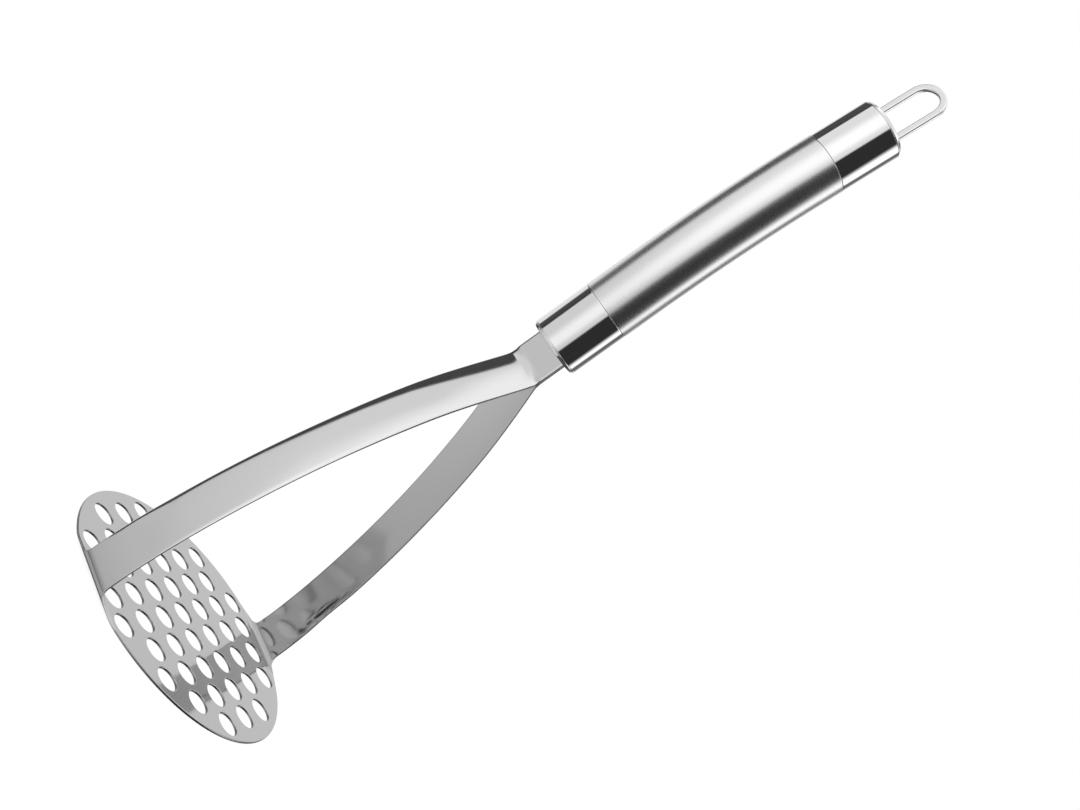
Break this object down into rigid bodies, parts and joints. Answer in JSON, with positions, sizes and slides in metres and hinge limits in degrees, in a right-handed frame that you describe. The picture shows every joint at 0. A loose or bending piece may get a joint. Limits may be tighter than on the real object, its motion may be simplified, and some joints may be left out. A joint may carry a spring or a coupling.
{
  "type": "potato masher",
  "caption": "Steel potato masher: perforated round disc with two straps folded up from the same sheet into a slim, slightly bent tube handle with a hanging loop.",
  "frame": {"origin": "centre of the disc's flat underside", "axes": "+Z from the disc up to the handle and its loop, +X from one strap to the other towards the side to which the handle bends, +Y across the straps' width"},
  "size_m": [0.0894, 0.0912, 0.2781],
  "materials": {
    "polished_sheet": "polished",
    "mirror_tube": "polished",
    "satin_tube": "satin",
    "flat_wire": "polished",
    "turned_steel": "satin"
  },
  "bodies": {
    "root": {"masher_head": "polished_sheet", "front_collar": "mirror_tube", "grip_tube": "satin_tube", "rear_end_cap": "mirror_tube", "hanging_loop": "flat_wire", "front_plug": "turned_steel", "front_joint_sleeve": "turned_steel", "rear_joint_sleeve": "turned_steel"}
  },
  "joints": []
}
